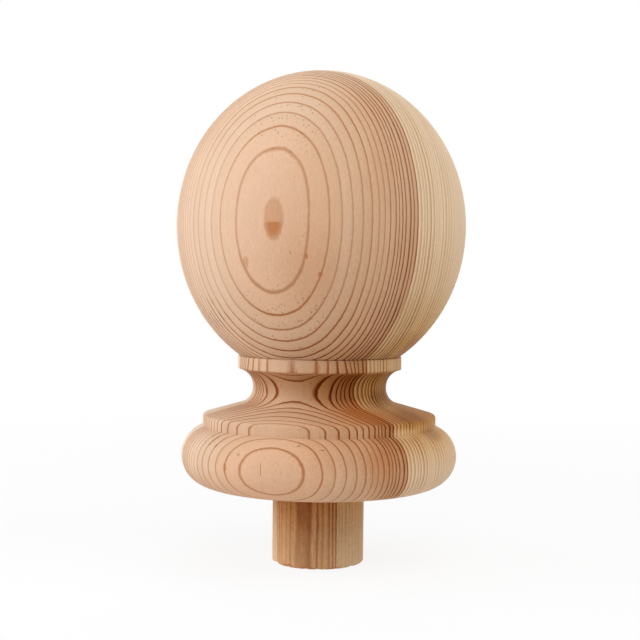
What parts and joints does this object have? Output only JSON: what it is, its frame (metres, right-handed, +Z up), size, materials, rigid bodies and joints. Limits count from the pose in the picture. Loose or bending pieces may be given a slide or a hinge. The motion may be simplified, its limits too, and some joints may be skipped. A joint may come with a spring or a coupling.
{
  "type": "fence post cap",
  "caption": "Turned wooden ball finial for a fence post: an oval ball on a collared neck and round beaded base, with a dowel spigot that drops into the post.",
  "frame": {"origin": "on the axis, in the plane of the base's underside, which sits on the post", "axes": "+Z up along the turning axis, from the spigot to the ball"},
  "size_m": [0.088, 0.088, 0.1494],
  "materials": {
    "ball_wood": "sanded, unfinished",
    "pedestal_wood": "sanded, unfinished",
    "dowel_wood": "sanded, unfinished"
  },
  "bodies": {
    "root": {"ball": "ball_wood", "pedestal": "pedestal_wood", "spigot": "dowel_wood"}
  },
  "joints": []
}
